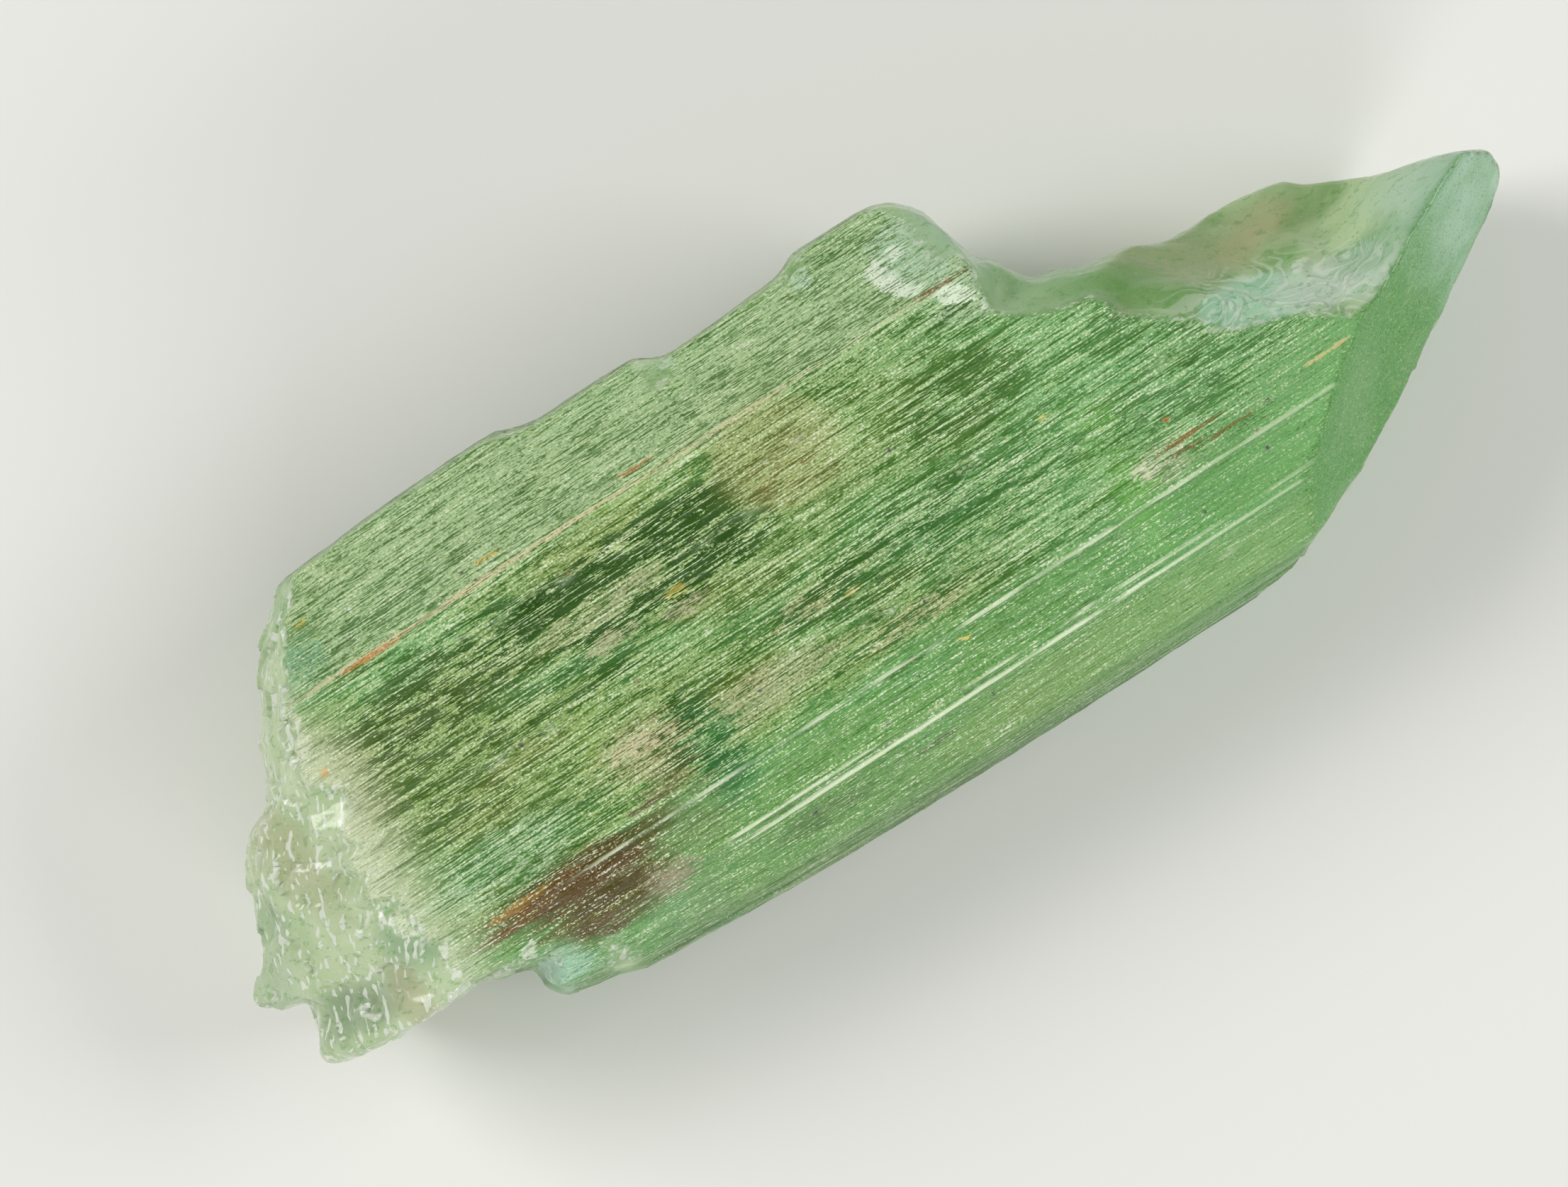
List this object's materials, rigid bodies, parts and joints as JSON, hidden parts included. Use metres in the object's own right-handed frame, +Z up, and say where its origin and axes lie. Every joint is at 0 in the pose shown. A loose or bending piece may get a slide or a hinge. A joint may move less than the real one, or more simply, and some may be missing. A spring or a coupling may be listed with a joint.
{
  "type": "hiddenite crystal",
  "caption": "Loose green spodumene crystal lying on a prism face: a flattened striated prism with a broken base and a chisel tip, for display.",
  "frame": {"origin": "under the middle of the bounding box, on the plane the crystal rests on", "axes": "+X along the crystal's long c axis towards the chisel tip, +Z up from the resting face to the broad face, +Y towards the bevelled long side"},
  "size_m": [0.026, 0.0096, 0.0058],
  "materials": {
    "hiddenite": "etched and striated, satin with glassy windows"
  },
  "bodies": {
    "root": {"hiddenite_crystal": "hiddenite"}
  },
  "joints": []
}
